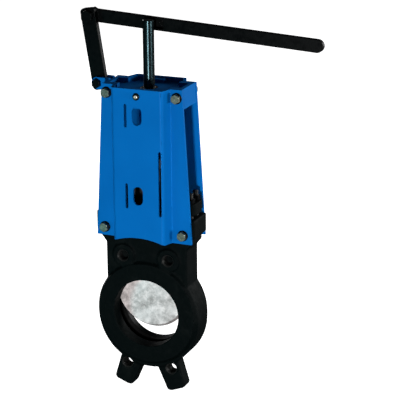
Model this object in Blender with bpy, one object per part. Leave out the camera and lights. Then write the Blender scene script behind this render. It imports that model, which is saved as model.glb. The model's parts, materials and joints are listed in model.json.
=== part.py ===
"""Knife gate valve, DN100 wafer pattern, worked by a lever.

The origin is the centre of the bore, halfway between the two pipe faces. The bore runs along Y,
the front face looks along -Y, and the stem rises along +Z. Lengths are in metres. The valve is
modelled about a quarter open, with the lever almost level.
"""

import math

import bmesh
import bpy
from mathutils import Matrix, Vector

# Bore and pipe faces
BORE_R = 0.050
FACE_R = 0.0738
RING_R = 0.0770
FACE_Y = 0.025
RING_Y = 0.0195
BOLT_CIRCLE_R = 0.090
BOLT_ANGLE = math.radians(22.5)
TAPPED_R = 0.007
LUG_ANGLE = math.radians(20.3)
LUG_Y = (-0.0155, 0.0050)
BELLY_R = 0.0778
BELLY_Z = -0.0062
BELLY_HALF_T = 0.0185
FLANGE_BOSS_R = 0.0165
FLANGE_BOSS_Y = 0.0235
TAPPED_BOTTOM_Y = 0.011

# Gate and its chamber
GATE_R = 0.054
GATE_HALF_T = 0.004
GATE_ARC_Z = 0.0255
GATE_TOP_Z = 0.2115
GATE_BEVEL = 0.0045
CHAMBER_R = 0.0548
CHAMBER_HALF_T = 0.0048
SEAT_R = 0.0570
SEAT_FRONT_Y = 0.0044
SEAT_REAR_Y = 0.0130
RETAINER_REAR_Y = 0.0248
GUIDE_X = (0.0410, 0.0500)
GUIDE_Y = (-0.0085, -0.0044)
GUIDE_Z = (0.0600, 0.1000)

# Neck and top block
NECK_X = 0.0622
NECK_Y = 0.020
SHOULDER_X = 0.069
SHOULDER_Z = (0.1005, 0.1085)
BLOCK_X = 0.075
BLOCK_Y = 0.0227
BLOCK_LOW_Z = 0.119
BLOCK_TOP_Z = 0.146
BOX_X = 0.060
BOX_Y = 0.012
BOX_FLOOR_Z = 0.1125
BOX_CORNER_R = 0.0119
STUD_HOLE_Z = 0.1315
BOLT_HOLE_Y = 0.0142
PACKING_HEIGHT = 0.0087
PACKING_TOP_Z = 0.1397
GLAND_X = 0.073
GLAND_Y = 0.0205
GLAND_Z = (0.1510, 0.1680)
GLAND_CORNER_R = 0.012
LIP_GAP = 0.0004
GATE_SLOT = (0.0548, 0.0049)
STUD = (0.0640, 0.0095)
STUD_LOW_Z = 0.1320
STUD_LENGTH = 0.0500

# Screws: shank and hole radius, half the width across flats, head and nut height
M8_R = 0.0040
M8_HOLE_R = 0.0043
M8_FLATS = 0.0060
M8_HEAD = 0.0053
M8_NUT = 0.0065
M10_R = 0.0050
M10_HOLE_R = 0.0053
M10_FLATS = 0.0080
M10_HEAD = 0.0060
M10_NUT = 0.0080
WASHER_R = 0.0078
WASHER_HOLE_R = 0.0044
WASHER_T = 0.0016

# Yoke plates
SHEET = 0.004
FLANGE_Y = 0.027
WEB_Y = 0.0445
WEB_X = 0.0380
ROOT_X = 0.0432
BEND_INSIDE_R = 0.0015
PLATE_LOW_Z = 0.1125
PLATE_TOP_Z = 0.333
PLATE_LOW_X = 0.0722
PLATE_TOP_X = 0.0600
PLATE_HOLE_R = 0.0046
TOP_BOLT = (0.0526, 0.321)
LOW_BOLT = (0.0595, 0.125)
FOOT_ARCH_R = 0.112
FOOT_ARCH_Z = 0.0075
WEB_SLOTS = (  # half width, low, high and x of each
    (0.0075, 0.2820, 0.3080, 0.0), (0.0075, 0.1675, 0.1945, 0.0),
    (0.0021, 0.2780, 0.3115, -0.0172), (0.0021, 0.1615, 0.1980, -0.0172),
    (0.0022, 0.1540, 0.2480, 0.0332))
SCREW_Z = 0.323
SCREW_HOLE_R = 0.0044
BUTTON_R = 0.0052
SOCKET_FLATS = 0.0016

# Bridge, bush, stem and linkage
BRIDGE_LOW_Z = 0.305
BRIDGE_FLOOR_Z = 0.3265
BRIDGE_SLAB = 0.008
BRIDGE_X = (0.0608, 0.0592)
BRIDGE_NOSE_X = 0.032
BRIDGE_BOSS_R = 0.020
SCREW_PAD = (0.009, 0.030, 0.331)
ROOM_SIDES = (0.0535, 0.0145)
ROOM_MIDDLE = (0.0385, 0.0300)
EAR_R = 0.0085
EAR_FRONT_Y = -0.0063
EAR_REAR_Y = 0.0143
BUSH_R = 0.0125
CLEVIS_X = 0.016
CLEVIS_Y = 0.013
CLEVIS_Z = (0.1930, 0.2230)
CLEVIS_BOLT_Z = 0.2025
STEM_R = 0.008
STEM_LOW_Z = 0.2155
STEM_TOP_Z = 0.4215
LINK_T = 0.008
LINK_HALF = 0.011
LINK_CORNER_R = 0.0055
LEVER_HALF = 0.009
GROOVE_RUN = (-0.0067, 0.0186)
GROOVE_BACK_Y = 0.0141
GROOVE_HALF = 0.0058
PIN_R = 0.0035
PIN_HOLE_R = 0.0038
EAR_PIVOT = (-0.077, 0.327)
CORNER_PIVOT = (-0.0915, 0.420)
STEM_PIVOT = (0.0, 0.4145)
LEVER_END_X = 0.249
LEVER_FRONT_Y = 0.0083

GAP = 0.0003
YOKE_SHANK = 0.0147
HINGE_SHANK = 0.0290
CLEVIS_SHANK = 0.0360
AXIS_TURN = {"Z": Matrix.Identity(4), "Y": Matrix.Rotation(math.radians(90), 4, "X")}


# ---------------------------------------------------------------- tools


def clear_scene():
    for obj in list(bpy.data.objects):
        bpy.data.objects.remove(obj)


def material(name, colour, roughness, metallic):
    made = bpy.data.materials.new(name)
    made.use_nodes = True
    shader = made.node_tree.nodes["Principled BSDF"]
    shader.inputs["Base Color"].default_value = (*colour, 1.0)
    shader.inputs["Roughness"].default_value = roughness
    shader.inputs["Metallic"].default_value = metallic
    made.diffuse_color = (*colour, 1.0)
    return made


def arc(centre, radius, start, end, steps):
    """Points from start to end degrees, both included."""
    angles = [math.radians(start + (end - start) * i / steps) for i in range(steps + 1)]
    return [(centre[0] + radius * math.cos(a), centre[1] + radius * math.sin(a)) for a in angles]


def circle(radius, steps, centre=(0.0, 0.0)):
    return arc(centre, radius, 0, 360, steps)[:-1]


def rounded_box(half_x, half_y, radius, steps=4):
    """A rectangle about the origin with round corners, counter-clockwise."""
    points = []
    for i, (sx, sy) in enumerate(((1, 1), (-1, 1), (-1, -1), (1, -1))):
        centre = (sx * (half_x - radius), sy * (half_y - radius))
        points += arc(centre, radius, 90 * i, 90 * i + 90, steps)
    return points


def mirrored(points):
    """The points and, in reverse, their mirror images in the line X = 0."""
    return points + [(-x, z) for x, z in reversed(points)]


def rotated(points, angle):
    c, s = math.cos(angle), math.sin(angle)
    return [(c * x - s * z, s * x + c * z) for x, z in points]


def prism(outline, low, high, axis="Y"):
    """An outline pushed from low to high. On Y and Z it is drawn as (x, z) and (x, y)."""
    if axis == "Y":
        corners = [(u, low, v) for u, v in outline]
        push = (0, 1, 0)
    else:
        corners = [(u, v, low) for u, v in outline]
        push = (0, 0, 1)
    mesh = bmesh.new()
    face = mesh.faces.new([mesh.verts.new(corner) for corner in corners])
    grown = bmesh.ops.extrude_face_region(mesh, geom=[face], use_keep_orig=True)
    moved = [item for item in grown["geom"] if isinstance(item, bmesh.types.BMVert)]
    bmesh.ops.translate(mesh, verts=moved, vec=Vector(push) * (high - low))
    bmesh.ops.recalc_face_normals(mesh, faces=mesh.faces)
    return mesh


def box(x_span, y_span, z_span):
    outline = [(x_span[0], z_span[0]), (x_span[1], z_span[0]),
               (x_span[1], z_span[1]), (x_span[0], z_span[1])]
    return prism(outline, *y_span)


def turned(profile, steps, axis="Z"):
    """A (radius, height) profile spun about an axis. It is closed where it leaves the axis."""
    mesh = bmesh.new()
    points = [mesh.verts.new((radius, 0.0, height)) for radius, height in profile]
    edges = [mesh.edges.new(pair) for pair in zip(points, points[1:])]
    if profile[0][0] > 0:
        edges.append(mesh.edges.new((points[-1], points[0])))
    bmesh.ops.spin(mesh, geom=points + edges, axis=(0, 0, 1), cent=(0, 0, 0),
                   steps=steps, angle=math.tau, use_merge=True)
    bmesh.ops.remove_doubles(mesh, verts=mesh.verts, dist=1e-7)
    bmesh.ops.recalc_face_normals(mesh, faces=mesh.faces)
    bmesh.ops.transform(mesh, matrix=AXIS_TURN[axis], verts=mesh.verts)
    return mesh


def rod(radius, low, high, axis="Y", centre=(0.0, 0.0), steps=24):
    """A round bar from low to high. On Y its centre is (x, z), and on Z it is (x, y)."""
    return prism(circle(radius, steps, centre), low, high, axis)


def as_object(name, mesh):
    data = bpy.data.meshes.new(name)
    mesh.to_mesh(data)
    mesh.free()
    obj = bpy.data.objects.new(name, data)
    bpy.context.scene.collection.objects.link(obj)
    return obj


def combined(base, joins=(), cuts=()):
    """One mesh: the base with each join added and then each cut taken away."""
    target = as_object("combined", base)
    tools = []
    for operation, shapes in (("UNION", joins), ("DIFFERENCE", cuts)):
        for shape in shapes:
            tool = as_object("tool", shape)
            step = target.modifiers.new("step", "BOOLEAN")
            step.operation = operation
            step.solver = "EXACT"
            step.object = tool
            tools.append(tool)
    bpy.context.view_layer.update()
    graph = bpy.context.evaluated_depsgraph_get()
    data = bpy.data.meshes.new_from_object(target.evaluated_get(graph))
    for helper in [target, *tools]:
        bpy.data.objects.remove(helper)
    return data


def place(name, shape, finish, location=(0, 0, 0), turn=None, parent=None):
    """A named node. The shape is a bmesh, or a mesh that other nodes may share."""
    if isinstance(shape, bmesh.types.BMesh):
        obj = as_object(name, shape)
        obj.data.materials.append(finish)
    else:
        obj = bpy.data.objects.new(name, shape)
        bpy.context.scene.collection.objects.link(obj)
        if not shape.materials:
            shape.materials.append(finish)
    obj.data.shade_smooth()
    obj.data.set_sharp_from_angle(angle=math.radians(32))
    obj.location = location
    if turn:
        obj.rotation_euler = turn
    if parent:
        obj.parent = parent
    return obj


def empty(name, location, parent=None):
    obj = bpy.data.objects.new(name, None)
    obj.location = location
    obj.parent = parent
    bpy.context.scene.collection.objects.link(obj)
    return obj


# ---------------------------------------------------------------- body


def lug_outline(side):
    """A lower lug, narrower at its round-cornered tip."""
    root, tip, half_root, half_tip, corner = 0.060, 0.1225, 0.0185, 0.0150, 0.006
    points = [(half_root, root), (half_tip, tip - corner)]
    points += arc((half_tip - corner, tip - corner), corner, 0, 90, 4)[1:]
    outline = mirrored(points)
    return rotated(outline, math.pi + side * LUG_ANGLE)


def bolt_hole(side, up):
    x = side * BOLT_CIRCLE_R * math.sin(BOLT_ANGLE)
    return x, up * BOLT_CIRCLE_R * math.cos(BOLT_ANGLE)


def body_mesh():
    ring = turned([(0, -FACE_Y), (FACE_R, -FACE_Y), (RING_R, -RING_Y), (RING_R, RING_Y),
                   (FACE_R, FACE_Y), (0, FACE_Y)], 72, "Y")
    neck = mirrored([(NECK_X, 0.0), (NECK_X, SHOULDER_Z[0]), (SHOULDER_X, SHOULDER_Z[1]),
                     (SHOULDER_X, BLOCK_LOW_Z + 0.01)])
    joins = [
        prism(neck, -NECK_Y, NECK_Y),
        box((-BLOCK_X, BLOCK_X), (-BLOCK_Y, BLOCK_Y), (BLOCK_LOW_Z, BLOCK_TOP_Z)),
        rod(BELLY_R, -BELLY_HALF_T, BELLY_HALF_T, centre=(0.0, BELLY_Z), steps=72),
    ]
    chamber = [(CHAMBER_R, 0.16)] + arc((0.0, 0.0), CHAMBER_R, 0, -90, 24)[:-1]
    chamber += [(0.0, -CHAMBER_R)] + [(-x, z) for x, z in reversed(chamber)]
    cuts = [
        prism(chamber, -CHAMBER_HALF_T, CHAMBER_HALF_T),
        prism(rounded_box(BOX_X, BOX_Y, BOX_CORNER_R, 8), BOX_FLOOR_Z, 0.16, "Z"),
        rod(BORE_R, -0.03, 0.001, steps=72),
        rod(SEAT_R + GAP, 0.0, 0.03, steps=72),
    ]
    for side in (-1, 1):
        joins.append(prism(lug_outline(side), *LUG_Y))
        boss = rod(FLANGE_BOSS_R, -FLANGE_BOSS_Y, FLANGE_BOSS_Y, centre=bolt_hole(side, 1), steps=36)
        joins.append(boss)
        cuts.append(rod(TAPPED_R, -0.03, 0.03, centre=bolt_hole(side, -1), steps=20))
        for face in (-1, 1):
            span = sorted((face * TAPPED_BOTTOM_Y, face * 0.03))
            cuts.append(rod(TAPPED_R, *span, centre=bolt_hole(side, 1), steps=20))
            span = sorted((face * BOLT_HOLE_Y, face * 0.03))
            cuts.append(rod(M8_HOLE_R, *span, centre=(side * LOW_BOLT[0], LOW_BOLT[1]), steps=16))
            cuts.append(rod(M8_HOLE_R, STUD_HOLE_Z, 0.16, "Z", (side * STUD[0], face * STUD[1]), 16))
        cuts.append(box(sorted(side * x for x in GUIDE_X), (GUIDE_Y[0], 0.0), GUIDE_Z))
    return combined(ring, joins, cuts)


def seat_rings(rubber, steel):
    spans = {"seat_ring": (SEAT_FRONT_Y, SEAT_REAR_Y, rubber),
             "seat_retainer": (SEAT_REAR_Y + GAP, RETAINER_REAR_Y, steel)}
    for name, (near, far, finish) in spans.items():
        profile = [(BORE_R, -near), (SEAT_R, -near), (SEAT_R, -far), (BORE_R, -far)]
        place(name, turned(profile, 72, "Y"), finish)


def gate_guides(nylon):
    low, high = (GUIDE_Z[0] + GAP, GUIDE_Z[1] - GAP)
    for name, side in (("gate_guide_left", -1), ("gate_guide_right", 1)):
        span = sorted((side * (GUIDE_X[0] + GAP), side * (GUIDE_X[1] - GAP)))
        place(name, box(span, (GUIDE_Y[0] + GAP, GUIDE_Y[1]), (low, high)), nylon)


def packing(ptfe):
    for i in range(3):
        low = BOX_FLOOR_Z + GAP + i * (PACKING_HEIGHT + GAP)
        outline = rounded_box(BOX_X - GAP, BOX_Y - GAP, BOX_CORNER_R - LIP_GAP, 6)
        outer = prism(outline, low, low + PACKING_HEIGHT, "Z")
        inner = box((-0.0546, 0.0546), (-0.0046, 0.0046), (low - 0.01, low + 0.02))
        place(f"packing_ring_{i + 1}", combined(outer, cuts=[inner]), ptfe)


def gland(iron, black):
    low, high = GLAND_Z
    plate = prism(rounded_box(GLAND_X, GLAND_Y, GLAND_CORNER_R, 6), low, high, "Z")
    lip_outline = rounded_box(BOX_X - LIP_GAP, BOX_Y - LIP_GAP, BOX_CORNER_R - LIP_GAP, 6)
    lip = prism(lip_outline, PACKING_TOP_Z, low + 0.005, "Z")
    cuts = [box((-GATE_SLOT[0], GATE_SLOT[0]), (-GATE_SLOT[1], GATE_SLOT[1]), (0.13, 0.18))]
    studs = [(side * STUD[0], face * STUD[1]) for side in (-1, 1) for face in (-1, 1)]
    cuts += [rod(0.0045, 0.14, 0.18, "Z", centre, 16) for centre in studs]
    place("packing_gland", combined(plate, [lip], cuts), iron)
    stud = turned([(0, 0), (M8_R, 0), (M8_R, STUD_LENGTH - 0.001), (M8_R - 0.0008, STUD_LENGTH),
                   (0, STUD_LENGTH)], 12)
    stud_data = combined(stud)
    nut_data = nut_mesh(M8_FLATS, M8_NUT, 0.0044)
    for i, (x, y) in enumerate(studs, 1):
        place(f"gland_stud_{i}", stud_data, black, (x, y, STUD_LOW_Z))
        place(f"gland_nut_{i}", nut_data, black, (x, y, high + GAP))


# ---------------------------------------------------------------- fasteners


def hexagon(half_flats):
    return arc((0.0, 0.0), half_flats / math.cos(math.pi / 6), 30, 330, 5)


def hex_head(half_flats, low, high):
    """A hexagon along Z with its upper corners turned off at about 30 degrees."""
    corner = half_flats / math.cos(math.pi / 6)
    drop = (corner - half_flats) * 0.55
    cone = turned([(0, low - 0.001), (corner * 1.05, low - 0.001), (corner * 1.05, high - drop),
                   (half_flats * 0.95, high), (0, high)], 24)
    head = as_object("head", prism(hexagon(half_flats), low, high, "Z"))
    tool = as_object("cone", cone)
    step = head.modifiers.new("corners", "BOOLEAN")
    step.operation = "INTERSECT"
    step.solver = "EXACT"
    step.object = tool
    bpy.context.view_layer.update()
    data = head.evaluated_get(bpy.context.evaluated_depsgraph_get()).to_mesh()
    mesh = bmesh.new()
    mesh.from_mesh(data)
    for helper in (head, tool):
        bpy.data.objects.remove(helper)
    return mesh


def nut_mesh(half_flats, height, hole_r):
    return combined(hex_head(half_flats, 0.0, height),
                    cuts=[rod(hole_r, -0.01, height + 0.01, "Z", steps=12)])


def bolt_mesh(half_flats, head, shank_r, shank):
    """A hex bolt along Z: the head above the origin and the shank below."""
    stem = turned([(0, -shank), (shank_r - 0.0008, -shank), (shank_r, 0.0008 - shank),
                   (shank_r, head / 2), (0, head / 2)], 12)
    return combined(hex_head(half_flats, 0.0, head), [stem])


def yoke_bolts(zinc, black):
    """Four bolts with washers on each yoke plate: two into the bridge, two into the body."""
    washer = [(WASHER_HOLE_R, 0), (WASHER_R, 0), (WASHER_R, WASHER_T), (WASHER_HOLE_R, WASHER_T)]
    washer_data = combined(turned(washer, 20))
    bolt_data = bolt_mesh(M8_FLATS, M8_HEAD, M8_R, YOKE_SHANK)
    for face, face_name in ((-1, "front"), (1, "rear")):
        turn = (face * -math.pi / 2, 0, 0)
        for level, (x, z) in (("top", TOP_BOLT), ("low", LOW_BOLT)):
            for side, side_name in ((-1, "left"), (1, "right")):
                name = f"{face_name}_{level}_{side_name}"
                seat = face * (FLANGE_Y + GAP)
                place(f"yoke_washer_{name}", washer_data, black, (side * x, seat, z), turn)
                seat += face * (WASHER_T + GAP)
                place(f"yoke_bolt_{name}", bolt_data, zinc, (side * x, seat, z), turn)


# ---------------------------------------------------------------- yoke


def bent_line(corners, radii, steps=5):
    """A line through the corners, with each corner but the first and last rounded."""
    points = [Vector(corners[0])]
    for before, at, after, radius in zip(corners, corners[1:], corners[2:], radii):
        at = Vector(at)
        back = (Vector(before) - at).normalized()
        ahead = (Vector(after) - at).normalized()
        half = back.angle(ahead) / 2
        centre = at + (back + ahead).normalized() * radius / math.sin(half)
        start = at + back * radius / math.tan(half) - centre
        sweep = start.angle_signed(at + ahead * radius / math.tan(half) - centre)
        points += [centre + Matrix.Rotation(-sweep * i / steps, 2) @ start for i in range(steps + 1)]
    return [tuple(point) for point in points + [Vector(corners[-1])]]


def hat_section():
    """The bent sheet seen from above: flange, sloping flank, web, flank and flange."""
    lean = math.atan2(ROOT_X - WEB_X, WEB_Y - FLANGE_Y)
    shift = SHEET * math.tan((math.pi / 2 - lean) / 2)
    outside = BEND_INSIDE_R + SHEET
    front = [(0.085, -FLANGE_Y), (ROOT_X, -FLANGE_Y), (WEB_X, -WEB_Y), (0.0, -WEB_Y)]
    back = [(0.085, SHEET - FLANGE_Y), (ROOT_X - shift, SHEET - FLANGE_Y),
            (WEB_X - shift, SHEET - WEB_Y), (0.0, SHEET - WEB_Y)]
    right_front = bent_line(front, (BEND_INSIDE_R, outside))[:-1]
    right_back = bent_line(back, (outside, BEND_INSIDE_R))[:-1]
    left_front = [(-x, y) for x, y in reversed(right_front)]
    left_back = [(-x, y) for x, y in right_back]
    return right_front + left_front + left_back + right_back[::-1]


def slot(half_width, low, high, x):
    """A cutter through the web: an upright slot with round ends."""
    steps = 8 if half_width > 0.005 else 4
    points = arc((x, high - half_width), half_width, 0, 180, steps)
    points += arc((x, low + half_width), half_width, 180, 360, steps)
    return prism(points, -0.06, -0.03)


def yoke_plates(blue):
    sheet = prism(hat_section(), PLATE_LOW_Z - 0.01, PLATE_TOP_Z + 0.01, "Z")
    side_cut = [(PLATE_LOW_X, PLATE_LOW_Z), (PLATE_TOP_X, PLATE_TOP_Z)]
    lean = (PLATE_TOP_X - PLATE_LOW_X) / (PLATE_TOP_Z - PLATE_LOW_Z) * 0.02
    cuts = [
        box((-0.1, 0.1), (-0.06, 0.0), (PLATE_TOP_Z, PLATE_TOP_Z + 0.03)),
        box((-0.1, 0.1), (-0.06, 0.0), (PLATE_LOW_Z - 0.03, PLATE_LOW_Z)),
        rod(FOOT_ARCH_R, -0.06, -0.03, centre=(0.0, FOOT_ARCH_Z), steps=96),
        rod(SCREW_HOLE_R, -0.06, -0.03, centre=(0.0, SCREW_Z), steps=16),
    ]
    cuts += [slot(*size) for size in WEB_SLOTS]
    for side in (-1, 1):
        (low_x, low_z), (top_x, top_z) = side_cut
        outline = [(side * (low_x - lean), low_z - 0.02), (side * (top_x + lean), top_z + 0.02),
                   (side * 0.1, top_z + 0.02), (side * 0.1, low_z - 0.02)]
        cuts.append(prism(outline, -0.06, 0.0))
        for x, z in (TOP_BOLT, LOW_BOLT):
            cuts.append(rod(PLATE_HOLE_R, -0.06, 0.0, centre=(side * x, z), steps=16))
    data = combined(sheet, cuts=cuts)
    place("yoke_plate_front", data, blue)
    place("yoke_plate_rear", data, blue, turn=(0, 0, math.pi))


def bridge(blue):
    """A ribbed plate between the yoke plates, with a boss for the bush and the link's ear."""
    inside = FLANGE_Y - SHEET - GAP
    low_x, top_x = BRIDGE_X
    cheeks = [(-low_x, BRIDGE_LOW_Z), (low_x, BRIDGE_LOW_Z), (top_x, PLATE_TOP_Z), (-top_x, PLATE_TOP_Z)]
    slab_z = BRIDGE_FLOOR_Z - BRIDGE_SLAB
    reach = WEB_Y - SHEET - GAP
    nose = box((-BRIDGE_NOSE_X, BRIDGE_NOSE_X), (-reach, reach), (slab_z, BRIDGE_FLOOR_Z))
    boss = rod(BRIDGE_BOSS_R, BRIDGE_LOW_Z, slab_z + 0.002, "Z", steps=36)
    pad_x, pad_y, pad_top = SCREW_PAD
    joins = [nose, boss]
    for face in (-1, 1):
        pad = sorted((face * pad_y, face * reach))
        joins.append(box((-pad_x, pad_x), pad, (BRIDGE_LOW_Z, pad_top)))
    for near, far in ((EAR_FRONT_Y, -GAP), (LINK_T + GAP, EAR_REAR_Y)):
        joins.append(prism(ear_outline(), near, far))
    rooms = []
    for span in ((BRIDGE_FLOOR_Z, 0.40), (0.29, slab_z)):
        for half_x, half_y in (ROOM_SIDES, ROOM_MIDDLE):
            rooms.append(box((-half_x, half_x), (-half_y, half_y), span))
    tray = combined(prism(cheeks, -inside, inside), cuts=rooms)
    cuts = [rod(BUSH_R + GAP, 0.29, 0.35, "Z", steps=24),
            rod(M8_HOLE_R, -0.03, 0.03, centre=EAR_PIVOT, steps=20)]
    for face in (-1, 1):
        span = sorted((face * 0.0315, face * 0.06))
        cuts.append(rod(SCREW_HOLE_R, *span, centre=(0.0, SCREW_Z), steps=16))
        for side in (-1, 1):
            span = sorted((face * 0.010, face * 0.03))
            cuts.append(rod(M8_HOLE_R, *span, centre=(side * TOP_BOLT[0], TOP_BOLT[1]), steps=16))
    base = bmesh.new()
    base.from_mesh(tray)
    place("top_bridge", combined(base, joins, cuts), blue)


def stem_bush(bronze):
    """A sleeve through the bridge's boss, flush with it at both ends."""
    profile = [(STEM_R + GAP, BRIDGE_FLOOR_Z), (BUSH_R, BRIDGE_FLOOR_Z),
               (BUSH_R, BRIDGE_LOW_Z), (STEM_R + GAP, BRIDGE_LOW_Z)]
    place("stem_bush", turned(profile, 24), bronze)


def ear_outline():
    x, z = EAR_PIVOT
    root = -0.0590
    return [(root, z + EAR_R - 0.0005)] + arc((x, z), EAR_R, 90, 270, 12) + [(root, z - EAR_R)]


# ---------------------------------------------------------------- moving pieces


def gate_mesh():
    """A plate with a half-round lower end, ground to a knife edge on its front side."""
    steps = 48
    top = [(GATE_R, GATE_TOP_Z - 0.004), (GATE_R - 0.004, GATE_TOP_Z)]
    mesh = bmesh.new()
    rows = []
    for y, bevel in ((-GATE_HALF_T, GATE_BEVEL), (GATE_HALF_T - 0.0015, 0.0), (GATE_HALF_T, 0.0)):
        row = [mesh.verts.new((x, y, z)) for x, z in top]
        row += [mesh.verts.new((-x, y, z)) for x, z in reversed(top)]
        for i in range(steps + 1):
            angle = math.pi + math.pi * i / steps
            radius = GATE_R - bevel * abs(math.sin(angle)) ** 0.5
            row.append(mesh.verts.new((radius * math.cos(angle), y, GATE_ARC_Z + radius * math.sin(angle))))
        rows.append(row)
    for first, second in zip(rows, rows[1:]):
        for i in range(len(first)):
            j = (i + 1) % len(first)
            mesh.faces.new((first[i], first[j], second[j], second[i]))
    mesh.faces.new(rows[0])
    mesh.faces.new(rows[-1])
    bmesh.ops.recalc_face_normals(mesh, faces=mesh.faces)
    return combined(mesh, cuts=[rod(M10_HOLE_R, -0.01, 0.01, centre=(0.0, CLEVIS_BOLT_Z))])


def stem_and_gate(stainless, polished, zinc, slide):
    place("gate", gate_mesh(), stainless, parent=slide)
    low, high = CLEVIS_Z
    chamfered = [(CLEVIS_X, low), (CLEVIS_X, high - 0.005), (CLEVIS_X - 0.003, high)]
    cuts = [box((-0.02, 0.02), (-GATE_HALF_T - GAP, GATE_HALF_T + GAP), (0.18, GATE_TOP_Z + GAP)),
            rod(M10_HOLE_R, -0.02, 0.02, centre=(0.0, CLEVIS_BOLT_Z)),
            rod(STEM_R + GAP, STEM_LOW_Z - GAP, 0.24, "Z")]
    head = combined(prism(mirrored(chamfered), -CLEVIS_Y, CLEVIS_Y), cuts=cuts)
    place("stem_clevis", head, zinc, parent=slide)
    seat = CLEVIS_Y + GAP
    bolt = bolt_mesh(M10_FLATS, M10_HEAD, M10_R, CLEVIS_SHANK)
    place("clevis_bolt", bolt, zinc, (0, -seat, CLEVIS_BOLT_Z), (math.pi / 2, 0, 0), slide)
    nut = nut_mesh(M10_FLATS, M10_NUT, M10_HOLE_R)
    place("clevis_nut", nut, zinc, (0, seat, CLEVIS_BOLT_Z), (-math.pi / 2, 0, 0), slide)
    bar = turned([(0, STEM_LOW_Z), (STEM_R, STEM_LOW_Z), (STEM_R, STEM_TOP_Z - 0.001),
                  (STEM_R - 0.001, STEM_TOP_Z), (0, STEM_TOP_Z)], 24)
    hole = rod(PIN_HOLE_R, -0.0045, 0.02, centre=STEM_PIVOT, steps=16)
    place("stem", combined(bar, cuts=[hole]), polished, parent=slide)
    pin = rod(PIN_R, -0.0042, GROOVE_BACK_Y - 0.0006, centre=STEM_PIVOT, steps=16)
    place("stem_pin", pin, zinc, parent=slide)


def bar_outline(length, half, corner, start_corner=None):
    """A flat bar along +X from its first pivot: round corners at both ends, `half` past the pivot."""
    first = start_corner or corner
    points = arc((length - corner, half - corner), corner, 90, 0, 6)
    points += arc((length - corner, corner - half), corner, 0, -90, 6)
    points += arc((first - half, first - half), first, 270, 180, 6)
    points += arc((first - half, half - first), first, 180, 90, 6)
    return points


def link_and_lever(black):
    link_run = Vector(CORNER_PIVOT) - Vector(EAR_PIVOT)
    link_angle = math.atan2(link_run.y, link_run.x)
    ear = empty("link_pivot", (EAR_PIVOT[0], 0, EAR_PIVOT[1]))
    outline = bar_outline(link_run.length + LINK_HALF, LINK_HALF, LINK_CORNER_R)
    bar = prism(outline, 0.0, LINK_T)
    holes = [rod(M8_HOLE_R, -0.01, 0.02, steps=20),
             rod(M10_HOLE_R, -0.01, 0.02, centre=(link_run.length, 0.0), steps=20)]
    place("link", combined(bar, cuts=holes), black, turn=(0, -link_angle, 0), parent=ear)

    corner = empty("lever_pivot", (link_run.x, 0, link_run.y), ear)
    reach = Vector(STEM_PIVOT) - Vector(CORNER_PIVOT)
    lever_angle = math.atan2(reach.y, reach.x)
    length = (LEVER_END_X - CORNER_PIVOT[0]) / math.cos(lever_angle)
    back = LEVER_FRONT_Y + LINK_T
    outline = bar_outline(length, LEVER_HALF, LEVER_HALF - 0.0001, LINK_CORNER_R)
    bar = prism(outline, LEVER_FRONT_Y, back)
    run = [reach.length + offset for offset in GROOVE_RUN]
    groove = box(run, (0.0, GROOVE_BACK_Y), (-GROOVE_HALF, GROOVE_HALF))
    hole = rod(M10_HOLE_R, -0.01, 0.03, steps=20)
    turn = (0, -lever_angle, 0)
    place("lever", combined(bar, cuts=[groove, hole]), black, turn=turn, parent=corner)

    bolt_data = bolt_mesh(M10_FLATS, M10_HEAD, M10_R, HINGE_SHANK)
    nut_data = nut_mesh(M10_FLATS, M10_NUT, M10_HOLE_R)
    x, z = EAR_PIVOT
    ear_bolt_data = bolt_mesh(M8_FLATS, M8_HEAD, M8_R, HINGE_SHANK)
    ear_nut_data = nut_mesh(M8_FLATS, M8_NUT, M8_HOLE_R)
    place("ear_bolt", ear_bolt_data, black, (x, -0.0066, z), (math.pi / 2, 0, 0))
    place("ear_nut", ear_nut_data, black, (x, 0.0146, z), (-math.pi / 2, 0, 0))
    place("corner_bolt", bolt_data, black, (0, -GAP, 0), (math.pi / 2, 0, 0), corner)
    place("corner_nut", nut_data, black, (0, back + GAP, 0), (-math.pi / 2, 0, 0), corner)


def plate_screw(black):
    """The button-head screw that ties the front web to the bridge."""
    dome = [(BUTTON_R * math.cos(math.radians(a)), 0.0007 + 0.0027 * math.sin(math.radians(a)))
            for a in (0, 20, 40, 58, 72)]
    profile = [(0, -0.0120), (M8_R, -0.0120), (M8_R, 0.0), (BUTTON_R, 0.0), *dome, (0, dome[-1][1])]
    socket = prism(hexagon(SOCKET_FLATS), 0.0012, 0.01, "Z")
    shape = combined(turned(profile, 24), cuts=[socket])
    place("plate_screw", shape, black, (0, -WEB_Y - GAP, SCREW_Z), (math.pi / 2, 0, 0))


clear_scene()
BLUE = material("blue_paint", (0.004, 0.13, 0.43), 0.45, 0.0)
CAST_BLACK = material("black_cast_paint", (0.010, 0.014, 0.016), 0.45, 0.0)
BLACK = material("black_paint", (0.012, 0.012, 0.013), 0.40, 0.0)
STAINLESS = material("stainless_plate", (0.62, 0.61, 0.59), 0.42, 1.0)
POLISHED = material("polished_stem", (0.45, 0.46, 0.47), 0.22, 1.0)
ZINC = material("zinc_fastener", (0.36, 0.35, 0.32), 0.45, 1.0)
RUBBER = material("black_rubber", (0.015, 0.015, 0.015), 0.75, 0.0)
NYLON = material("white_nylon", (0.75, 0.74, 0.70), 0.55, 0.0)
PTFE = material("ptfe_packing", (0.70, 0.70, 0.66), 0.70, 0.0)
BRONZE = material("bronze_bush", (0.48, 0.30, 0.13), 0.40, 1.0)

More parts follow.
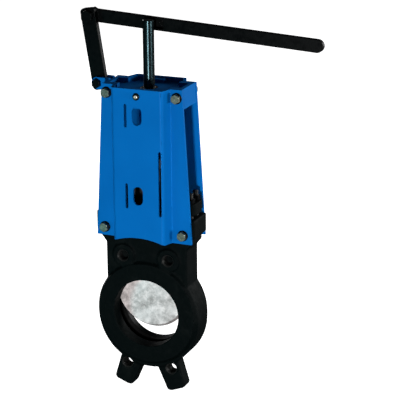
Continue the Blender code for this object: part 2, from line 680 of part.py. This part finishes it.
place("valve_body", body_mesh(), CAST_BLACK)
seat_rings(RUBBER, BLACK)
gate_guides(NYLON)
packing(PTFE)
gland(CAST_BLACK, BLACK)
yoke_plates(BLUE)
bridge(BLUE)
stem_bush(BRONZE)
yoke_bolts(ZINC, BLACK)
plate_screw(BLACK)
stem_and_gate(STAINLESS, POLISHED, ZINC, empty("gate_slide", (0, 0, 0)))
link_and_lever(BLACK)
bpy.context.view_layer.update()
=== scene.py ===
"""Looks of the knife gate valve: castings, threads, edges, materials, light and camera."""

import json
import math

import bmesh
import bpy
from mathutils import Matrix, Vector

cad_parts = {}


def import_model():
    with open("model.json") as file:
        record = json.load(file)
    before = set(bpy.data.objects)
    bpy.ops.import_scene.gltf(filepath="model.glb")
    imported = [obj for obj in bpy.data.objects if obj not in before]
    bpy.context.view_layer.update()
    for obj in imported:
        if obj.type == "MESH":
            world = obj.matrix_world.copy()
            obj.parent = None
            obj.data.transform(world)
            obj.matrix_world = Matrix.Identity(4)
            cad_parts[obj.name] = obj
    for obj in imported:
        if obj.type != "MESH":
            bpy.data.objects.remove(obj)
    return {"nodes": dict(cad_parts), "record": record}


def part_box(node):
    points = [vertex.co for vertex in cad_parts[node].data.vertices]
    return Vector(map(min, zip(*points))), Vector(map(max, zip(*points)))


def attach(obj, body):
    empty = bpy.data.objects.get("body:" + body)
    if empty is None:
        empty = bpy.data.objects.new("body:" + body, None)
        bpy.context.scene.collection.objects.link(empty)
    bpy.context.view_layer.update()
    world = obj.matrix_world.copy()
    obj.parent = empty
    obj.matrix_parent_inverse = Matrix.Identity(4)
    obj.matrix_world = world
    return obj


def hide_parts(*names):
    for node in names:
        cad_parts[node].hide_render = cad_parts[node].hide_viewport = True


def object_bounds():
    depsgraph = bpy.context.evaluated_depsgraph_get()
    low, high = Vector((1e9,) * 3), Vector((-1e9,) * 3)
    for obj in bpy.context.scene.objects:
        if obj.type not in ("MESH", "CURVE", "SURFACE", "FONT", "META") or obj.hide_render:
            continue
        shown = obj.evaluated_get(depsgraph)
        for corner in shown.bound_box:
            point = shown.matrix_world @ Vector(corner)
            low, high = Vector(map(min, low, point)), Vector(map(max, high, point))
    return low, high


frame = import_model()
cad_low, cad_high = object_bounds()

# Camera
CAMERA_AZIMUTH = math.radians(22.4)
CAMERA_ELEVATION = math.radians(17.4)
CAMERA_ROLL = math.radians(-0.45)
CAMERA_DISTANCE = 2.4
CAMERA_TARGET = Vector((0.0746, 0.0, 0.1710))
LENS = 154.8

# Above this height, where the gate slides through the packing inside the yoke, its colour is darkened to
# near-black as painted shade
GATE_SHADE_LOW_Z = 0.104

# Castings, in metres
BODY_VOXEL = 0.0013
BODY_ROUNDS = 4
GLAND_VOXEL = 0.0009
GLAND_ROUNDS = 3
BORE_R = 0.050
RING_R = 0.0770
SEAT_R = 0.0573
CHAMBER_R = 0.0548
CHAMBER_HALF_T = 0.0048
RING_TOP_Z = 0.062
SNAP_REACH = 0.62 * BODY_VOXEL
CHAMBER_BAND = 0.0025
CUTTER_Y = 0.03
FACE_Y = 0.025
BOLT_CIRCLE_R = 0.090
BOLT_ANGLE = math.radians(22.5)
BOSS_Y = 0.0235
LUG_SPAN = (-0.0155, 0.0050)
HOLE_BOTTOM_Y = 0.011

# M16 tapped holes: inner radius, pitch and depth of the thread, its mouth and the hole cut for it
TAP_THREAD = (0.0070, 0.0020, 0.0010)
TAP_MOUTH_R = 0.0089
TAP_CUT_R = 0.0084
TAP_PROUD = 0.00004

# Corners sharper than this are rounded, and faces closer than this to one plane are joined first
SHARP_ANGLE = math.radians(32)
FLAT_ANGLE = math.radians(1)

# Lights: azimuth (0 in front, 90 on the right), elevation, distance, size, watts, colour and
# how far to the left of the valve's axis they aim
WHITE = (1.0, 1.0, 1.0)
TEAL = (0.15, 0.95, 1.0)
AIM_Z = 0.12
LIGHTS = {
    "key": (11, -4, 2.2, 0.20, 50, WHITE, 0.0),
    "side": (80, 4, 2.0, 0.40, 24, WHITE, 0.0),
    "back_right": (138, 14, 2.2, 0.90, 40, WHITE, 0.0),
    "back_left": (235, 14, 2.2, 0.90, 24, WHITE, 0.0),
    "sheen": (-22, -17, 0.75, 0.22, 1.4, TEAL, 0.33),
}
AMBIENT = 0.035
FLOOR_GAP = 0.0015

# Fasteners: thread radius, pitch and depth, and the height of the screw in the front plate
M8_THREAD = (0.0040, 0.00125, 0.0006)
M10_THREAD = (0.0050, 0.0015, 0.0007)
THREAD_PROUD = 0.00005
THREAD_END = 0.0002
THREAD_HIDDEN = 0.004
THREAD_STEPS = 40
ROWS_A_PITCH = 8
SCREW_Z = 0.323


# ---------------------------------------------------------------- geometry


def add_object(name, mesh):
    """Links a bmesh as a smooth-shaded object."""
    data = bpy.data.meshes.new(name)
    mesh.to_mesh(data)
    mesh.free()
    obj = bpy.data.objects.new(name, data)
    bpy.context.scene.collection.objects.link(obj)
    data.shade_smooth()
    return obj


def node_copy(name, node):
    """A copy of a CAD node's mesh in the row frame, with its split vertices joined."""
    source = frame["nodes"][node]
    mesh = bmesh.new()
    mesh.from_mesh(source.data)
    bmesh.ops.transform(mesh, matrix=source.matrix_world, verts=mesh.verts)
    bmesh.ops.remove_doubles(mesh, verts=mesh.verts, dist=1e-6)
    return add_object(name, mesh)


def rod(radius, low, high, centre):
    """A cutter along Y."""
    mesh = bmesh.new()
    turn = Matrix.Translation((centre[0], (low + high) / 2, centre[1]))
    turn @= Matrix.Rotation(math.radians(90), 4, "X")
    bmesh.ops.create_cone(mesh, cap_ends=True, segments=48, radius1=radius, radius2=radius,
                          depth=high - low, matrix=turn)
    return add_object("cutter", mesh)


def applied(obj, name):
    """Bakes an object's modifiers into a new object and removes the old one."""
    bpy.context.view_layer.update()
    data = bpy.data.meshes.new_from_object(obj.evaluated_get(bpy.context.evaluated_depsgraph_get()))
    bpy.data.objects.remove(obj)
    made = bpy.data.objects.new(name, data)
    bpy.context.scene.collection.objects.link(made)
    data.shade_smooth()
    return made


def cast(name, node, voxel, rounds, cutters=()):
    """A casting: the CAD solid with its edges rounded off as a mould leaves them."""
    obj = node_copy("rough_" + name, node)
    for cutter in cutters:
        cut = obj.modifiers.new("cut", "BOOLEAN")
        cut.operation = "DIFFERENCE"
        cut.solver = "EXACT"
        cut.object = cutter
    remesh = obj.modifiers.new("remesh", "REMESH")
    remesh.mode = "VOXEL"
    remesh.voxel_size = voxel
    smooth = obj.modifiers.new("smooth", "SMOOTH")
    smooth.factor = 0.5
    smooth.iterations = rounds
    made = applied(obj, name)
    for cutter in cutters:
        bpy.data.objects.remove(cutter)
    return made


def snapped(value, targets):
    for target in targets:
        if abs(value - target) < SNAP_REACH:
            return target
    return value


def machine_body(obj):
    """Puts the turned faces of the ring, and the walls of the gate's chamber, back in their true places."""
    for vertex in obj.data.vertices:
        x, y, z = vertex.co
        radius = math.hypot(x, z)
        if radius < RING_R + SNAP_REACH and z < RING_TOP_Z:
            y = snapped(y, (-FACE_Y, FACE_Y))
            true = snapped(radius, (BORE_R, SEAT_R))
            x, z = x * true / radius, z * true / radius
        across = math.hypot(x, min(z, 0.0))
        in_chamber = abs(y) < CHAMBER_HALF_T and z < RING_TOP_Z
        if in_chamber and CHAMBER_R - CHAMBER_BAND < across < CHAMBER_R:
            x *= CHAMBER_R / across
            z *= CHAMBER_R / across if z < 0 else 1.0
        vertex.co = (x, y, z)


def thread_mesh(size, low, high, inner=False, proud=0.0):
    """A screw thread along Z. Outside it is a closed rod; inside it is the wall of a tapped hole."""
    radius, pitch, depth = size
    radius += proud
    rows = int((high - low) / pitch * ROWS_A_PITCH) + 1
    steps = THREAD_STEPS
    mesh = bmesh.new()
    grid = []
    for i in range(rows + 1):
        z = low + (high - low) * i / rows
        near_end = min(z - low, high - z)
        ring = []
        for j in range(steps):
            angle = math.tau * j / steps
            wave = abs(2 * ((z / pitch - j / steps) % 1.0) - 1)
            if inner:
                r = max(radius + depth * wave, TAP_MOUTH_R - (high - z))
            else:
                r = min(radius - depth * wave, radius - depth + near_end)
            ring.append(mesh.verts.new((r * math.cos(angle), r * math.sin(angle), z)))
        grid.append(ring)
    for first, second in zip(grid, grid[1:]):
        for j in range(steps):
            k = (j + 1) % steps
            corners = (first[j], first[k], second[k], second[j])
            mesh.faces.new(corners[::-1] if inner else corners)
    if inner:
        mesh.faces.new(grid[0])
    else:
        mesh.faces.new(grid[0][::-1])
        mesh.faces.new(grid[-1])
    return mesh


def bolt_hole(side, up):
    x = side * BOLT_CIRCLE_R * math.sin(BOLT_ANGLE)
    return x, up * BOLT_CIRCLE_R * math.cos(BOLT_ANGLE)


def soften(node, width):
    """Breaks a CAD node's edges with a small round, as real edges are."""
    obj = frame["nodes"][node]
    weld = obj.modifiers.new("weld", "WELD")
    weld.merge_threshold = 1e-6
    flat = obj.modifiers.new("flat", "DECIMATE")
    flat.decimate_type = "DISSOLVE"
    flat.angle_limit = FLAT_ANGLE
    bevel = obj.modifiers.new("edges", "BEVEL")
    bevel.width = width
    bevel.segments = 2
    bevel.limit_method = "ANGLE"
    bevel.angle_limit = SHARP_ANGLE
    bevel.miter_outer = "MITER_ARC"
    bevel.harden_normals = False
    normals = obj.modifiers.new("normals", "WEIGHTED_NORMAL")
    normals.keep_sharp = False


# ---------------------------------------------------------------- materials


class Look:
    """A procedural material in an object's own coordinates, in metres."""

    def __init__(self, name, metallic, specular=0.5):
        self.material = bpy.data.materials.new(name)
        self.material.use_nodes = True
        self.tree = self.material.node_tree
        self.shader = self.tree.nodes["Principled BSDF"]
        self.shader.inputs["Metallic"].default_value = metallic
        self.shader.inputs["Specular IOR Level"].default_value = specular
        self.coords = self.add("ShaderNodeTexCoord").outputs["Object"]
        self.normal = None

    def add(self, kind):
        return self.tree.nodes.new(kind)

    def link(self, output, socket):
        self.tree.links.new(output, socket)

    def stretched(self, scale):
        mapping = self.add("ShaderNodeMapping")
        mapping.inputs["Scale"].default_value = scale
        self.link(self.coords, mapping.inputs["Vector"])
        return mapping.outputs["Vector"]

    def noise(self, scale, detail=4.0, stretch=None, roughness=0.5):
        node = self.add("ShaderNodeTexNoise")
        node.inputs["Scale"].default_value = scale
        node.inputs["Detail"].default_value = detail
        node.inputs["Roughness"].default_value = roughness
        self.link(self.stretched(stretch) if stretch else self.coords, node.inputs["Vector"])
        return node.outputs["Fac"]

    def cells(self, scale, stretch=None):
        node = self.add("ShaderNodeTexVoronoi")
        node.inputs["Scale"].default_value = scale
        self.link(self.stretched(stretch) if stretch else self.coords, node.inputs["Vector"])
        return node.outputs["Distance"]

    def height(self):
        node = self.add("ShaderNodeSeparateXYZ")
        self.link(self.coords, node.inputs["Vector"])
        return node.outputs["Z"]

    def span(self, value, low, high, to_low=0.0, to_high=1.0):
        node = self.add("ShaderNodeMapRange")
        node.inputs["From Min"].default_value = low
        node.inputs["From Max"].default_value = high
        node.inputs["To Min"].default_value = to_low
        node.inputs["To Max"].default_value = to_high
        self.link(value, node.inputs["Value"])
        return node.outputs["Result"]

    def mixed(self, factor, first, second):
        node = self.add("ShaderNodeMix")
        node.data_type = "RGBA"
        for socket, colour in ((node.inputs["A"], first), (node.inputs["B"], second)):
            self.put(colour, socket)
        self.link(factor, node.inputs["Factor"])
        return node.outputs["Result"]

    def put(self, value, socket):
        if isinstance(value, tuple):
            socket.default_value = (*value, 1.0)
        elif isinstance(value, (int, float)):
            socket.default_value = value
        else:
            self.link(value, socket)

    def colour(self, value):
        self.put(value, self.shader.inputs["Base Color"])

    def roughness(self, value):
        self.put(value, self.shader.inputs["Roughness"])

    def bump(self, height, distance, strength=1.0):
        node = self.add("ShaderNodeBump")
        node.inputs["Distance"].default_value = distance
        node.inputs["Strength"].default_value = strength
        self.link(height, node.inputs["Height"])
        if self.normal:
            self.link(self.normal, node.inputs["Normal"])
        self.normal = node.outputs["Normal"]
        self.link(self.normal, self.shader.inputs["Normal"])


def cast_paint():
    """Black paint over a sand casting: grain, low lumps and thin spots of grey-brown dust."""
    look = Look("black_cast_paint", 0.0, 0.04)
    dust = look.span(look.noise(38, 6, roughness=0.62), 0.55, 0.80)
    look.colour(look.mixed(dust, (0.0002, 0.0014, 0.0015), (0.0034, 0.0050, 0.0048)))
    look.roughness(look.span(look.noise(120, 5), 0.3, 0.7, 0.58, 0.76))
    look.bump(look.noise(55, 3), 0.0016, 0.5)
    look.bump(look.noise(420, 6, roughness=0.6), 0.0006, 0.75)
    look.bump(look.cells(900), 0.0002, 0.5)
    return look


def blue_paint():
    """Blue powder coat on sheet: orange peel, slight cloudiness and faint handling marks."""
    look = Look("blue_powder_coat", 0.0, 0.02)
    cloud = look.span(look.noise(14, 3), 0.3, 0.7)
    base = look.mixed(cloud, (0.0003, 0.098, 0.345), (0.0007, 0.113, 0.385))
    marks = look.span(look.noise(60, 8, (1.0, 1.0, 0.12), 0.7), 0.62, 0.82, 0.0, 0.35)
    look.colour(look.mixed(marks, base, (0.004, 0.150, 0.430)))
    look.roughness(look.span(look.noise(210, 4), 0.3, 0.7, 0.36, 0.50))
    look.bump(look.noise(650, 2), 0.00018, 0.6)
    look.bump(look.noise(45, 2), 0.0004, 0.25)
    return look


def black_paint():
    """Black paint on bar steel, with the rolled surface showing faintly through."""
    look = Look("black_bar_paint", 0.0, 0.05)
    wear = look.span(look.noise(90, 7, roughness=0.65), 0.60, 0.85)
    look.colour(look.mixed(wear, (0.0003, 0.0007, 0.0009), (0.0036, 0.0050, 0.0055)))
    look.roughness(look.span(look.noise(160, 4), 0.3, 0.7, 0.32, 0.48))
    look.bump(look.noise(520, 3), 0.0002, 0.6)
    look.bump(look.noise(60, 3, (0.15, 1.0, 1.0)), 0.0005, 0.3)
    return look


def mill_stainless():
    """Hot-rolled stainless plate: a pale mottle, fine specks and the odd scratch, with painted shade
    turning it near-black above a set height.
    """
    look = Look("mill_stainless", 0.45)
    mottle = look.span(look.noise(85, 9, roughness=0.78), 0.40, 0.62)
    base = look.mixed(mottle, (0.29, 0.26, 0.25), (0.76, 0.69, 0.68))
    patches = look.span(look.noise(26, 4, roughness=0.6), 0.42, 0.64, 0.0, 0.6)
    base = look.mixed(patches, base, (0.90, 0.83, 0.82))
    specks = look.span(look.cells(330), 0.0, 0.22, 1.0, 0.0)
    base = look.mixed(look.span(specks, 0.2, 1.0, 0.0, 0.55), base, (0.27, 0.27, 0.27))
    scratches = look.span(look.noise(900, 2, (1.0, 1.0, 0.02)), 0.66, 0.74, 0.0, 0.30)
    base = look.mixed(scratches, base, (0.76, 0.71, 0.70))
    # Painted shade: the gate's colour fades to near-black above this height, standing in for the shade
    # inside the yoke
    painted_shade = look.span(look.height(), GATE_SHADE_LOW_Z, GATE_SHADE_LOW_Z + 0.010)
    look.colour(look.mixed(painted_shade, base, (0.016, 0.018, 0.018)))
    look.roughness(look.span(look.noise(160, 6), 0.3, 0.7, 0.38, 0.58))
    look.bump(look.noise(240, 6, roughness=0.65), 0.00025, 0.6)
    return look


def drawn_steel():
    """A ground and polished bar with fine rings round it."""
    look = Look("ground_stem_steel", 0.9, 0.2)
    streaks = look.noise(700, 3, (0.15, 0.15, 1.0))
    look.colour(look.mixed(look.span(streaks, 0.3, 0.7), (0.006, 0.013, 0.015), (0.013, 0.024, 0.027)))
    look.roughness(look.span(look.noise(260, 4, (1.0, 1.0, 0.3)), 0.3, 0.7, 0.22, 0.34))
    look.bump(look.noise(1500, 2, (0.1, 0.1, 1.0)), 0.00005, 0.4)
    return look


def screw_painted_glint():
    """A blackened screw with a painted highlight: a bright disc at its centre stands in for the glint of
    light on its head.
    """
    look = Look("screw_painted_glint", 0.6, 0.2)
    axis = look.add("ShaderNodeVectorMath")
    axis.operation = "MULTIPLY_ADD"
    axis.inputs[1].default_value = (1.0, 0.0, 1.0)
    axis.inputs[2].default_value = (0.0, 0.0, -SCREW_Z)
    look.link(look.coords, axis.inputs[0])
    length = look.add("ShaderNodeVectorMath")
    length.operation = "LENGTH"
    look.link(axis.outputs["Vector"], length.inputs[0])
    # Painted highlight: the colour turns bright in a small disc round the screw's axis, in place of a glint
    # of light
    glint_mask = look.span(length.outputs["Value"], 0.0016, 0.0030, 1.0, 0.0)
    grain = look.mixed(look.noise(900, 4), (0.34, 0.32, 0.27), (0.62, 0.60, 0.53))
    look.colour(look.mixed(glint_mask, (0.004, 0.010, 0.012), grain))
    look.roughness(look.span(look.noise(800, 3), 0.3, 0.7, 0.30, 0.48))
    look.bump(look.noise(1400, 3), 0.00005, 0.5)
    return look


def zinc_plate():
    """Dull zinc plate: warm grey with blotches of white bloom."""
    look = Look("dull_zinc_plate", 0.85)
    bloom = look.span(look.noise(420, 6, roughness=0.6), 0.45, 0.75)
    look.colour(look.mixed(bloom, (0.085, 0.100, 0.080), (0.20, 0.22, 0.19)))
    look.roughness(look.span(look.noise(800, 4), 0.3, 0.7, 0.34, 0.55))
    look.bump(look.noise(1100, 3), 0.00008, 0.5)
    return look


def seat_rubber():
    look = Look("moulded_rubber", 0.0, 0.03)
    chalk = look.span(look.noise(140, 5), 0.5, 0.8)
    look.colour(look.mixed(chalk, (0.0010, 0.0011, 0.0011), (0.0040, 0.0042, 0.0042)))
    look.roughness(look.span(look.noise(300, 3), 0.3, 0.7, 0.62, 0.80))
    look.bump(look.noise(1200, 3), 0.0001, 0.5)
    return look


def guide_nylon():
    look = Look("milled_nylon", 0.0, 0.4)
    look.colour(look.mixed(look.noise(60, 4), (0.66, 0.65, 0.60), (0.80, 0.79, 0.75)))
    look.roughness(look.span(look.noise(400, 3), 0.3, 0.7, 0.45, 0.62))
    look.bump(look.noise(900, 2, (1.0, 1.0, 0.1)), 0.0001, 0.5)
    return look


def braided_packing():
    """Braided cord: diagonal strands crossing at half-millimetre steps."""
    look = Look("braided_packing", 0.0, 0.3)
    height = None
    for lean in (1.0, -1.0):
        wave = look.add("ShaderNodeTexWave")
        wave.bands_direction = "DIAGONAL"
        wave.inputs["Scale"].default_value = 130
        wave.inputs["Distortion"].default_value = 1.0
        look.link(look.stretched((lean, lean, 1.0)), wave.inputs["Vector"])
        if height is None:
            height = wave.outputs["Fac"]
        else:
            both = look.add("ShaderNodeMath")
            both.operation = "MAXIMUM"
            look.link(height, both.inputs[0])
            look.link(wave.outputs["Fac"], both.inputs[1])
            height = both.outputs["Value"]
    look.colour(look.mixed(height, (0.46, 0.45, 0.40), (0.76, 0.75, 0.70)))
    look.roughness(0.75)
    look.bump(height, 0.0006, 0.8)
    return look


def turned_bronze():
    look = Look("turned_bronze", 1.0)
    look.colour(look.mixed(look.noise(180, 5), (0.030, 0.022, 0.012), (0.060, 0.046, 0.028)))
    look.roughness(look.span(look.noise(500, 3, (1.0, 1.0, 4.0)), 0.3, 0.7, 0.25, 0.42))
    look.bump(look.noise(1800, 2, (0.1, 0.1, 1.0)), 0.00005, 0.4)
    return look


def bare_thread():
    """Cut thread: dark oiled steel."""
    look = Look("oiled_thread", 0.5, 0.2)
    look.colour(look.mixed(look.noise(500, 4), (0.010, 0.011, 0.011), (0.030, 0.031, 0.030)))
    look.roughness(look.span(look.noise(700, 3), 0.3, 0.7, 0.28, 0.45))
    look.bump(look.noise(1500, 2), 0.00005, 0.4)
    return look


LOOKS = {
    "cast_black": cast_paint(),
    "blue_paint": blue_paint(),
    "black_steel": black_paint(),
    "stainless": mill_stainless(),
    "stem_steel": drawn_steel(),
    "zinc_steel": zinc_plate(),
    "seat_rubber": seat_rubber(),
    "guide_nylon": guide_nylon(),
    "packing_ptfe": braided_packing(),
    "bush_bronze": turned_bronze(),
}
THREAD = bare_thread()


def finish_piece(obj, slot, body, look=None, replaced=()):
    obj.data.materials.clear()
    obj.data.materials.append((look or LOOKS[slot]).material)
    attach(obj, body)
    if replaced:
        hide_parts(*replaced)


# ---------------------------------------------------------------- pieces


def castings():
    cutters = []
    for side in (-1, 1):
        cutters.append(rod(TAP_CUT_R, -CUTTER_Y, CUTTER_Y, bolt_hole(side, -1)))
        for face in (-1, 1):
            span = sorted((face * HOLE_BOTTOM_Y, face * CUTTER_Y))
            cutters.append(rod(TAP_CUT_R, *span, bolt_hole(side, 1)))
    body = cast("body_casting", "valve_body", BODY_VOXEL, BODY_ROUNDS, cutters)
    machine_body(body)
    finish_piece(body, "cast_black", "frame", replaced=["valve_body"])
    gland = cast("gland_casting", "packing_gland", GLAND_VOXEL, GLAND_ROUNDS)
    finish_piece(gland, "cast_black", "frame", replaced=["packing_gland"])


def tapped_holes():
    """The thread in each flange bolt hole, with its countersunk mouth."""
    holes = []
    for side in (-1, 1):
        for face in (-1, 1):
            holes.append((bolt_hole(side, 1), face, HOLE_BOTTOM_Y, BOSS_Y + TAP_PROUD))
        middle = sum(LUG_SPAN) / 2
        holes.append((bolt_hole(side, -1), -1, -middle, TAP_PROUD - LUG_SPAN[0]))
        holes.append((bolt_hole(side, -1), 1, middle, LUG_SPAN[1] + TAP_PROUD))
    for i, ((x, z), face, low, high) in enumerate(holes, 1):
        mesh = thread_mesh(TAP_THREAD, low, high, inner=True)
        through = z < 0
        if through:
            mesh.faces.ensure_lookup_table()
            bottom = max(mesh.faces, key=lambda item: len(item.verts))
            bmesh.ops.delete(mesh, geom=[bottom], context="FACES_ONLY")
        turn = Matrix.Rotation(-face * math.pi / 2, 4, "X")
        bmesh.ops.transform(mesh, matrix=Matrix.Translation((x, 0, z)) @ turn, verts=mesh.verts)
        finish_piece(add_object(f"tapped_hole_{i}", mesh), "cast_black", "frame", THREAD)


def studs():
    for i in range(1, 5):
        low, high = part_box(f"gland_stud_{i}")
        mesh = thread_mesh(M8_THREAD, low[2], high[2])
        centre = ((low[0] + high[0]) / 2, (low[1] + high[1]) / 2, 0)
        bmesh.ops.transform(mesh, matrix=Matrix.Translation(centre), verts=mesh.verts)
        finish_piece(add_object(f"threaded_stud_{i}", mesh), "black_steel", "frame", THREAD,
                     [f"gland_stud_{i}"])


def bolt_ends():
    """The threaded end that stands out of each nut on a through bolt."""
    bolts = (("ear_bolt", "ear_nut", "frame", "black_steel", M8_THREAD),
             ("corner_bolt", "corner_nut", "lever", "black_steel", M10_THREAD),
             ("clevis_bolt", "clevis_nut", "stem", "zinc_steel", M10_THREAD))
    for node, nut, body, slot, thread in bolts:
        low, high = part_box(node)
        nut_low, nut_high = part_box(nut)
        inside = nut_high[1] - THREAD_HIDDEN
        mesh = thread_mesh(thread, inside, high[1] + THREAD_END, proud=THREAD_PROUD)
        turn = Matrix.Rotation(-math.pi / 2, 4, "X")
        centre = ((nut_low[0] + nut_high[0]) / 2, 0, (nut_low[2] + nut_high[2]) / 2)
        bmesh.ops.transform(mesh, matrix=Matrix.Translation(centre) @ turn, verts=mesh.verts)
        finish_piece(add_object(f"{node}_thread", mesh), slot, body, THREAD)


EDGES = {
    "yoke_plate": 0.0005, "top_bridge": 0.0006, "yoke_bolt": 0.0004, "yoke_washer": 0.0003,
    "plate_screw": 0.0002, "ear_": 0.0004, "corner_": 0.0004, "clevis_": 0.0004,
    "gland_nut": 0.0004, "link": 0.0006, "lever": 0.0007, "stem_clevis": 0.0006,
    "stem_bush": 0.0004, "gate": 0.0003, "seat_": 0.0004, "stem": 0.0003,
}


def dress_nodes():
    for part in frame["record"]["subparts"]:
        node = frame["nodes"][part["node"]]
        node.data.materials.clear()
        node.data.materials.append(LOOKS[part["material_slot"]].material)
        width = next((EDGES[key] for key in EDGES if part["node"].startswith(key)), None)
        if width:
            soften(part["node"], width)
    screw = frame["nodes"]["plate_screw"]
    screw.data.materials[0] = screw_painted_glint().material


# ---------------------------------------------------------------- studio


def area_light(name, azimuth, elevation, distance, size, power, colour, left):
    """A square light aimed at the valve from the given side."""
    flat = distance * math.cos(math.radians(elevation))
    turn = math.radians(azimuth)
    offset = Vector((flat * math.sin(turn), -flat * math.cos(turn),
                     distance * math.sin(math.radians(elevation))))
    data = bpy.data.lights.new(name, "AREA")
    data.shape = "SQUARE"
    data.size = size
    data.energy = power
    data.color = colour
    obj = bpy.data.objects.new(name, data)
    obj.location = Vector((-left, 0.0, AIM_Z)) + offset
    obj.rotation_euler = (-offset).to_track_quat("-Z", "Y").to_euler()
    bpy.context.scene.collection.objects.link(obj)


def camera():
    data = bpy.data.cameras.new("camera")
    data.sensor_width = 36.0
    data.lens = LENS
    data.clip_end = 20
    obj = bpy.data.objects.new("camera", data)
    flat = math.cos(CAMERA_ELEVATION)
    back = Vector((math.sin(CAMERA_AZIMUTH) * flat, -math.cos(CAMERA_AZIMUTH) * flat,
                   math.sin(CAMERA_ELEVATION)))
    obj.location = CAMERA_TARGET + back * CAMERA_DISTANCE
    turn = (-back).to_track_quat("-Z", "Y").to_matrix().to_4x4()
    obj.rotation_euler = (turn @ Matrix.Rotation(CAMERA_ROLL, 4, "Z")).to_euler()
    bpy.context.scene.collection.objects.link(obj)
    bpy.context.scene.camera = obj


def floor():
    """A pale floor, bright enough to run into the white behind it."""
    mesh = bmesh.new()
    bmesh.ops.create_grid(mesh, x_segments=1, y_segments=1, size=6.0)
    bmesh.ops.translate(mesh, verts=mesh.verts, vec=(0, 0, cad_low[2] - FLOOR_GAP))
    obj = add_object("floor", mesh)
    look = Look("pale_floor", 0.0, 0.0)
    look.colour(look.mixed(look.noise(3, 3), (0.88, 0.88, 0.88), (0.91, 0.91, 0.91)))
    look.roughness(0.9)
    look.shader.inputs["Emission Color"].default_value = (1, 1, 1, 1)
    look.shader.inputs["Emission Strength"].default_value = 1.0
    obj.data.materials.append(look.material)
    obj.visible_glossy = False
    obj.visible_diffuse = False
    obj.visible_shadow = False


def world(background, ambient):
    """White behind the object; dimmer as a source of light."""
    made = bpy.data.worlds.new("studio")
    made.use_nodes = True
    tree = made.node_tree
    node = tree.nodes["Background"]
    node.inputs["Color"].default_value = (1, 1, 1, 1)
    path = tree.nodes.new("ShaderNodeLightPath")
    strength = tree.nodes.new("ShaderNodeMapRange")
    strength.inputs["To Min"].default_value = ambient
    strength.inputs["To Max"].default_value = background
    tree.links.new(path.outputs["Is Camera Ray"], strength.inputs["Value"])
    tree.links.new(strength.outputs["Result"], node.inputs["Strength"])
    bpy.context.scene.world = made


dress_nodes()
castings()
tapped_holes()
studs()
bolt_ends()

camera()
for name, setting in LIGHTS.items():
    area_light(name, *setting)
world(1.0, AMBIENT)
floor()
bpy.context.scene.view_settings.view_transform = "Standard"
